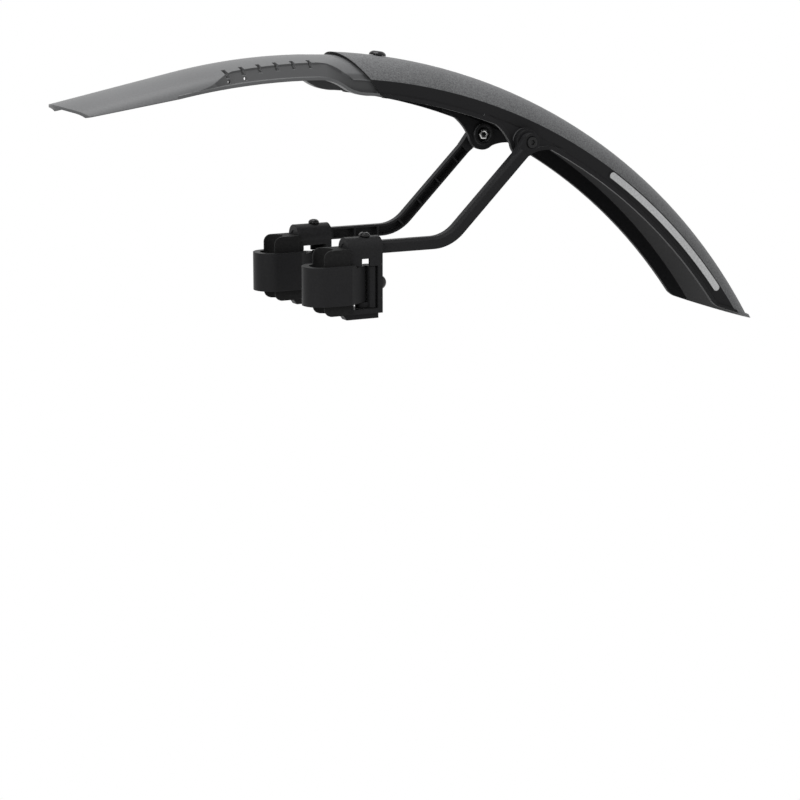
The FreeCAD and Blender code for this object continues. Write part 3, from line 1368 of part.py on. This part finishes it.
    set_screw = new_body(side + "_set_screw", x=dim("set_screw_x"), y=offset_y, z=rod_up)
    set_sketch = new_sketch(set_screw, "ScrewProfile", "XZ_Plane")
    set_base = dim("socket_radius")
    set_r = dim("set_screw_radius")
    set_head = dim("set_head_radius")
    set_top = set_base + dim("set_head_height")
    draw_outline(set_sketch, [
        (0.0, dim("rod_radius") + thread),
        (set_r, dim("rod_radius") + thread),
        (set_r, set_base),
        (set_head, set_base),
        (set_head, set_base + dim("set_head_height") * 0.4, set_head * 0.75),
        (set_head * 0.5, set_top),
        (0.0, set_top),
    ])
    add_turn(set_screw, "ScrewBody", "Revolution", set_sketch, "Z_Axis")
    add_socket(set_screw, "KeySocket", "XY_Plane", set_top, dim("hex_key") * 0.8, key_depth, False)

doc.recompute()
for item in doc.Objects:
    if "Invalid" in item.State or "Error" in item.State:
        raise RuntimeError("%s of %s failed: %s" % (item.Name, item.getParentGeoFeatureGroup(), item.State))
    if item.TypeId in ("PartDesign::Pocket", "PartDesign::Groove", "PartDesign::SubtractiveLoft"):
        if item.Shape.Volume > item.BaseFeature.Shape.Volume - 0.01:
            raise RuntimeError("%s of %s cuts nothing" % (item.Name, item.getParentGeoFeatureGroup().Label))

bodies = [item for item in doc.Objects if item.TypeId == "PartDesign::Body" and item != tail_rim]
for body in bodies:
    if body.Shape.isNull() or not body.Shape.isValid():
        raise RuntimeError("%s is not a valid shape" % body.Label)
    print(body.Label, len(body.Shape.Solids), round(body.Shape.Volume, 1))
    body.Shape.exportStep("parts/%s.step" % body.Label)
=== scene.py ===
import json
import math

import bpy
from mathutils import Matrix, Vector

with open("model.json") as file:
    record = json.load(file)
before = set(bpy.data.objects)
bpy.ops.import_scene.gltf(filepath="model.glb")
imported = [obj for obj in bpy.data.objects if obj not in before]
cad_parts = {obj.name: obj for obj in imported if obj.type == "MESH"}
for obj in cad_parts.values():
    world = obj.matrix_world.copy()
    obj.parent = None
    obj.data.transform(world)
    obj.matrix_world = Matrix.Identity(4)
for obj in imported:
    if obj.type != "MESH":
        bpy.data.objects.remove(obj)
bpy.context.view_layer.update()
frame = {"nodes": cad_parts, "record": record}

scene = bpy.context.scene
nodes = frame["nodes"]
record = frame["record"]

WHITE = (1.0, 1.0, 1.0, 1.0)
NONE_TO_ALL = (0.0, 1.0)
ALL_TO_NONE = (1.0, 0.0)

# Camera: place in metres, turns in degrees, lens and sensor in millimetres.
CAMERA_PLACE = (-0.6594, -1.3517, 0.2317)
CAMERA_YAW = -28.32
CAMERA_PITCH = -11.46
LEVEL_TILT = 90.0
LENS = 117.0
SENSOR_WIDTH = 36.0
NEAREST_SEEN = 0.05
FARTHEST_SEEN = 50.0

# Surfaces: soft patches vary tone and gloss, speckle varies tone, and grain is a fine relief.
PATCH_SCALE = 18.0
PATCH_DETAIL = 3.0
PATCH_RANGE = (0.3, 0.7)
PATCH_DEPTH = 0.08
SPECKLE_SCALE = 900.0
SPECKLE_DETAIL = 2.0
SPECKLE_RANGE = (0.35, 0.65)
GRAIN_SCALE = 1500.0
GRAIN_DETAIL = 2.0
GRAIN_HEIGHT = 0.0004
GLOSS_SWING = 0.06
SMOOTHEST = 0.02
ROUGHEST = 1.0
EDGE_RADIUS = 0.0008
EDGE_SAMPLES = 8

# Painted shade on a moulding: darker colours for its underside and its steep sides. WHOLE_WIDTH lies
# past every side.
UNDER_EDGE = (0.02, -0.02)
REACH_BLUR = 0.0003
WHOLE_WIDTH = 1.0
RECESS_REACH = 0.0245

BORDER_WIDTH = 0.0004
BORDER_BLUR = 0.0001
BORDER_COLOUR = (0.012, 0.012, 0.012)

EXTENSION_GREY = (0.14, 0.142, 0.145)

LOOKS = {
    # Speckled dome over smooth side walls and a plain underside, both given darker colours as painted
    # shade.
    "blade_plastic": {
        "colour": (0.145, 0.147, 0.15),
        "rough": 0.5,
        "spec": 0.12,
        "speckle": 0.28,
        "speckle_scale": 1200.0,
        "grain": 0.3,
        "painted_shade": {
            "shade_under_colour": (0.052, 0.052, 0.053),
            "shade_side_colour": (0.016, 0.016, 0.017),
            "side_edge": (0.915, 0.945),
            "side_reach": WHOLE_WIDTH,
        },
    },
    # Even grey plastic with painted shade on its recessed walls, which are darker.
    "extension_plastic": {
        "colour": EXTENSION_GREY,
        "rough": 0.45,
        "spec": 0.3,
        "speckle": 0.05,
        "grain": 0.1,
        "painted_shade": {
            "shade_under_colour": EXTENSION_GREY,
            "shade_side_colour": (0.085, 0.086, 0.088),
            "side_edge": (0.79, 0.83),
            "side_reach": RECESS_REACH,
        },
    },
    # Filled plastic of the arms, spacers and clamp frames.
    "black_plastic": {
        "colour": (0.021, 0.021, 0.022),
        "rough": 0.38,
        "spec": 0.08,
        "speckle": 0.12,
        "grain": 0.15,
    },
    # Matte rubber of the stay seats.
    "pad_rubber": {
        "colour": (0.018, 0.018, 0.018),
        "rough": 0.62,
        "spec": 0.08,
        "speckle": 0.15,
        "grain": 0.2,
    },
    # Smoother rubber of the straps.
    "strap_rubber": {
        "colour": (0.02, 0.02, 0.021),
        "rough": 0.45,
        "spec": 0.1,
        "speckle": 0.08,
        "grain": 0.1,
    },
    # Blackened screws and bolts.
    "black_steel": {
        "colour": (0.006, 0.006, 0.0065),
        "rough": 0.18,
        "spec": 0.27,
    },
    # Plated nuts.
    "bright_steel": {
        "colour": (0.72, 0.72, 0.71),
        "rough": 0.25,
        "metal": 1.0,
    },
    # Silver-grey strips.
    "reflective_film": {
        "colour": (0.7, 0.705, 0.71),
        "rough": 0.45,
        "spec": 0.3,
        "speckle": 0.1,
    },
}

# Studio: a pale round light table below the view, and a room that is bright above and below
# but dark at the height of the part, so that its sides stay dark and its edges catch the light.
FLOOR_HEIGHT = -0.6
FLOOR_RADIUS = 0.6
FLOOR_CENTRE = (0.1, 0.0)
FLOOR_STEPS = 64
FLOOR_GLOW = 0.45
FLOOR_LOOK = {"colour": (0.8, 0.8, 0.8), "rough": 0.85, "patch": 0.0}
ROOM_BRIGHT = 0.85
ROOM_DARK = 0.15

# Sockets of a Mix node that blends vectors.
MIX_FIRST = 4
MIX_SECOND = 5
MIX_RESULT = 1


def calculate(tree, operation, first, second=0.0):
    """One step of arithmetic on plain numbers and other nodes' sockets."""
    node = tree.nodes.new("ShaderNodeMath")
    node.operation = operation
    for socket, value in zip(node.inputs, (first, second)):
        if isinstance(value, float):
            socket.default_value = value
        else:
            tree.links.new(value, socket)
    return node.outputs["Value"]


def length(tree, first, second):
    """Length of a line that goes this far along two square directions."""
    squares = [calculate(tree, "POWER", side, 2.0) for side in (first, second)]
    return calculate(tree, "SQRT", calculate(tree, "ADD", *squares))


def remap(tree, value, source, target):
    """Map a range of values onto another range."""
    node = tree.nodes.new("ShaderNodeMapRange")
    node.inputs["From Min"].default_value = source[0]
    node.inputs["From Max"].default_value = source[1]
    node.inputs["To Min"].default_value = target[0]
    node.inputs["To Max"].default_value = target[1]
    tree.links.new(value, node.inputs["Value"])
    return node.outputs["Result"]


def blend_colour(tree, share, first, second):
    """Mix a colour socket with a plain colour, by a share from zero to one."""
    blend = tree.nodes.new("ShaderNodeMix")
    blend.data_type = "VECTOR"
    tree.links.new(share, blend.inputs["Factor"])
    tree.links.new(first, blend.inputs[MIX_FIRST])
    blend.inputs[MIX_SECOND].default_value = second
    return blend.outputs[MIX_RESULT]


def noise(tree, vector, scale, detail):
    """Noise texture over a vector."""
    texture = tree.nodes.new("ShaderNodeTexNoise")
    texture.inputs["Scale"].default_value = scale
    texture.inputs["Detail"].default_value = detail
    tree.links.new(vector, texture.inputs["Vector"])
    return texture.outputs["Fac"]


def coordinates(tree, kind):
    """X, Y and Z of one kind of texture coordinate."""
    vector = tree.nodes.new("ShaderNodeTexCoord").outputs[kind]
    split = tree.nodes.new("ShaderNodeSeparateXYZ")
    tree.links.new(vector, split.inputs["Vector"])
    return [split.outputs[axis] for axis in "XYZ"]


def background_share(tree):
    """One for the rays that show the background: to the camera, by reflection or through glass."""
    path = tree.nodes.new("ShaderNodeLightPath")
    share = path.outputs["Is Camera Ray"]
    for ray in ("Is Glossy Ray", "Is Transmission Ray"):
        share = calculate(tree, "MAXIMUM", share, path.outputs[ray])
    return share


def paint_shade(tree, base, shade_under_colour, shade_side_colour, side_edge, side_reach):
    """Paint shade on a moulding: darker colours for its underside and its steep sides.

    side_edge is the steepness where a side starts, and side_reach is how far from the mid-plane it ends.
    """
    _, sideways, upwards = coordinates(tree, "Normal")
    _, across, _ = coordinates(tree, "Object")
    # Painted shade: faces that point down get a darker colour.
    under = remap(tree, upwards, UNDER_EDGE, NONE_TO_ALL)
    base = blend_colour(tree, under, base, shade_under_colour)
    # Painted shade: steep faces within side_reach of the mid-plane get a darker colour.
    steep = remap(tree, calculate(tree, "ABSOLUTE", sideways), side_edge, NONE_TO_ALL)
    distance = calculate(tree, "ABSOLUTE", across)
    inside = remap(tree, distance, (side_reach, side_reach + REACH_BLUR), ALL_TO_NONE)
    return blend_colour(tree, calculate(tree, "MULTIPLY", steep, inside), base, shade_side_colour)


def varied_colour(tree, colour, patches, patch, dots, speckle):
    """Plain colour whose tone varies with soft patches and fine dots."""
    patch_tone = remap(tree, patches, PATCH_RANGE, (1.0 - patch, 1.0 + patch))
    speckle_tone = remap(tree, dots, SPECKLE_RANGE, (1.0 - speckle, 1.0 + speckle))
    tint = tree.nodes.new("ShaderNodeVectorMath")
    tint.operation = "SCALE"
    tint.inputs["Vector"].default_value = colour
    tree.links.new(calculate(tree, "MULTIPLY", patch_tone, speckle_tone), tint.inputs["Scale"])
    return tint.outputs["Vector"]


def rounded_relief(tree, place, grain):
    """Fine grain on a surface whose edges are shaded as rounded."""
    rounding = tree.nodes.new("ShaderNodeBevel")
    rounding.samples = EDGE_SAMPLES
    rounding.inputs["Radius"].default_value = EDGE_RADIUS
    relief = tree.nodes.new("ShaderNodeBump")
    relief.inputs["Strength"].default_value = grain
    relief.inputs["Distance"].default_value = GRAIN_HEIGHT
    tree.links.new(noise(tree, place, GRAIN_SCALE, GRAIN_DETAIL), relief.inputs["Height"])
    tree.links.new(rounding.outputs["Normal"], relief.inputs["Normal"])
    return relief.outputs["Normal"]


def make_material(name, colour, rough, spec=0.5, metal=0.0, patch=PATCH_DEPTH, speckle=0.0,
                  speckle_scale=SPECKLE_SCALE, grain=0.0, painted_shade=None):
    """Plastic, rubber, metal or paper: a base colour with patches, speckle and grain, and painted shade
    where the look gives it.
    """
    material = bpy.data.materials.new(name)
    material.use_nodes = True
    tree = material.node_tree
    shader = tree.nodes["Principled BSDF"]
    place = tree.nodes.new("ShaderNodeTexCoord").outputs["Object"]
    patches = noise(tree, place, PATCH_SCALE, PATCH_DETAIL)
    dots = noise(tree, place, speckle_scale, SPECKLE_DETAIL)
    base = varied_colour(tree, colour, patches, patch, dots, speckle)
    # Painted shade on the underside and the steep sides, where the look gives it.
    if painted_shade is not None:
        base = paint_shade(tree, base, **painted_shade)
    gloss_range = (max(rough - GLOSS_SWING, SMOOTHEST), min(rough + GLOSS_SWING, ROUGHEST))
    tree.links.new(base, shader.inputs["Base Color"])
    tree.links.new(remap(tree, patches, NONE_TO_ALL, gloss_range), shader.inputs["Roughness"])
    tree.links.new(rounded_relief(tree, place, grain), shader.inputs["Normal"])
    shader.inputs["Metallic"].default_value = metal
    shader.inputs["Specular IOR Level"].default_value = spec
    return material


def strip_arc(strip, axle):
    """A round-ended strip on an arc: its middle radius and bearing, half width and half straight."""
    offsets = [strip.matrix_world @ vertex.co - axle for vertex in strip.data.vertices]
    reaches = [math.hypot(offset.x, offset.z) for offset in offsets]
    bearings = [math.atan2(offset.x, offset.z) for offset in offsets]
    reach = (min(reaches) + max(reaches)) / 2.0
    half_width = (max(reaches) - min(reaches)) / 2.0
    bearing = (min(bearings) + max(bearings)) / 2.0
    half_straight = (max(bearings) - min(bearings)) / 2.0 * reach - half_width
    return reach, bearing, half_width, half_straight


def add_border(material, strip, axle):
    """Dark border round a strip that lies on an arc about the wheel axle."""
    reach, middle, half_width, half_straight = strip_arc(strip, axle)
    tree = material.node_tree
    shader = tree.nodes["Principled BSDF"]
    base = shader.inputs["Base Color"].links[0].from_socket
    x, _, z = coordinates(tree, "Object")
    along = calculate(tree, "SUBTRACT", x, axle.x)
    above = calculate(tree, "SUBTRACT", z, axle.z)
    turned = calculate(tree, "SUBTRACT", calculate(tree, "ARCTAN2", along, above), middle)
    from_middle = calculate(tree, "ABSOLUTE", calculate(tree, "MULTIPLY", turned, reach))
    past_end = calculate(tree, "MAXIMUM", calculate(tree, "SUBTRACT", from_middle, half_straight), 0.0)
    aside = calculate(tree, "SUBTRACT", length(tree, along, above), reach)
    inner_edge = half_width - BORDER_WIDTH
    edge = (inner_edge - BORDER_BLUR, inner_edge + BORDER_BLUR)
    share = remap(tree, length(tree, past_end, aside), edge, NONE_TO_ALL)
    tree.links.new(blend_colour(tree, share, base, BORDER_COLOUR), shader.inputs["Base Color"])


def dress_nodes():
    """Give each node of the frame the look that its record's slot names."""
    looks = {name: make_material(name, **look) for name, look in LOOKS.items()}
    joint_places = {joint["name"]: joint.get("pos_m") for joint in record["behaviour"]["joints"]}
    axle = Vector(joint_places["extension_slide"])
    add_border(looks["reflective_film"], nodes["left_reflector"], axle)
    slots = {entry["node"]: entry["material_slot"] for entry in record["subparts"]}
    for name, node in nodes.items():
        node.data.materials.clear()
        node.data.materials.append(looks[slots[name]])


def add_camera():
    """Long lens from the front left, a little above the blade."""
    data = bpy.data.cameras.new("camera")
    data.lens = LENS
    data.sensor_width = SENSOR_WIDTH
    data.clip_start = NEAREST_SEEN
    data.clip_end = FARTHEST_SEEN
    camera = bpy.data.objects.new("camera", data)
    scene.collection.objects.link(camera)
    camera.location = CAMERA_PLACE
    camera.rotation_euler = (math.radians(LEVEL_TILT + CAMERA_PITCH), 0.0, math.radians(CAMERA_YAW))
    scene.camera = camera


def floor_material():
    """Pale paper that glows for the background's rays only."""
    material = make_material("floor_paper", **FLOOR_LOOK)
    tree = material.node_tree
    shader = tree.nodes["Principled BSDF"]
    glow = remap(tree, background_share(tree), NONE_TO_ALL, (0.0, FLOOR_GLOW))
    shader.inputs["Emission Color"].default_value = WHITE
    tree.links.new(glow, shader.inputs["Emission Strength"])
    return material


def add_floor():
    """Round table below the view."""
    rim = []
    for step in range(FLOOR_STEPS):
        turn = 2.0 * math.pi * step / FLOOR_STEPS
        x = FLOOR_CENTRE[0] + FLOOR_RADIUS * math.cos(turn)
        y = FLOOR_CENTRE[1] + FLOOR_RADIUS * math.sin(turn)
        rim.append((x, y, FLOOR_HEIGHT))
    mesh = bpy.data.meshes.new("floor")
    mesh.from_pydata(rim, [], [tuple(range(FLOOR_STEPS))])
    mesh.materials.append(floor_material())
    floor = bpy.data.objects.new("floor", mesh)
    scene.collection.objects.link(floor)


def add_background(tree):
    """Plain white light of strength one."""
    background = tree.nodes.new("ShaderNodeBackground")
    background.inputs["Color"].default_value = WHITE
    background.inputs["Strength"].default_value = 1.0
    return background


def add_room():
    """Surroundings that light the part by height, and are white behind it."""
    world = bpy.data.worlds.new("world")
    scene.world = world
    world.use_nodes = True
    tree = world.node_tree
    tree.nodes.clear()
    _, _, upwards = coordinates(tree, "Generated")
    height = calculate(tree, "ABSOLUTE", upwards)
    room = add_background(tree)
    tree.links.new(remap(tree, height, NONE_TO_ALL, (ROOM_DARK, ROOM_BRIGHT)), room.inputs["Strength"])
    mix = tree.nodes.new("ShaderNodeMixShader")
    tree.links.new(background_share(tree), mix.inputs["Fac"])
    tree.links.new(room.outputs["Background"], mix.inputs[1])
    tree.links.new(add_background(tree).outputs["Background"], mix.inputs[2])
    output = tree.nodes.new("ShaderNodeOutputWorld")
    tree.links.new(mix.outputs["Shader"], output.inputs["Surface"])


def add_lamp(name, place, aim, size, power):
    """Soft rectangular lamp that looks at a point."""
    data = bpy.data.lights.new(name, "AREA")
    data.shape = "RECTANGLE"
    data.size, data.size_y = size
    data.energy = power
    lamp = bpy.data.objects.new(name, data)
    scene.collection.objects.link(lamp)
    lamp.location = place
    lamp.rotation_euler = (Vector(aim) - Vector(place)).to_track_quat("-Z", "Y").to_euler()


scene.view_settings.view_transform = "Standard"
add_camera()
dress_nodes()
add_floor()
add_room()
add_lamp("key_above", place=(-0.1, 0.1, 1.5), aim=(0.08, 0.0, 0.05), size=(0.9, 0.9), power=13.0)
add_lamp("fill_front", place=(-1.5, -1.1, 0.75), aim=(0.1, 0.0, 0.05), size=(0.5, 0.9), power=8.0)
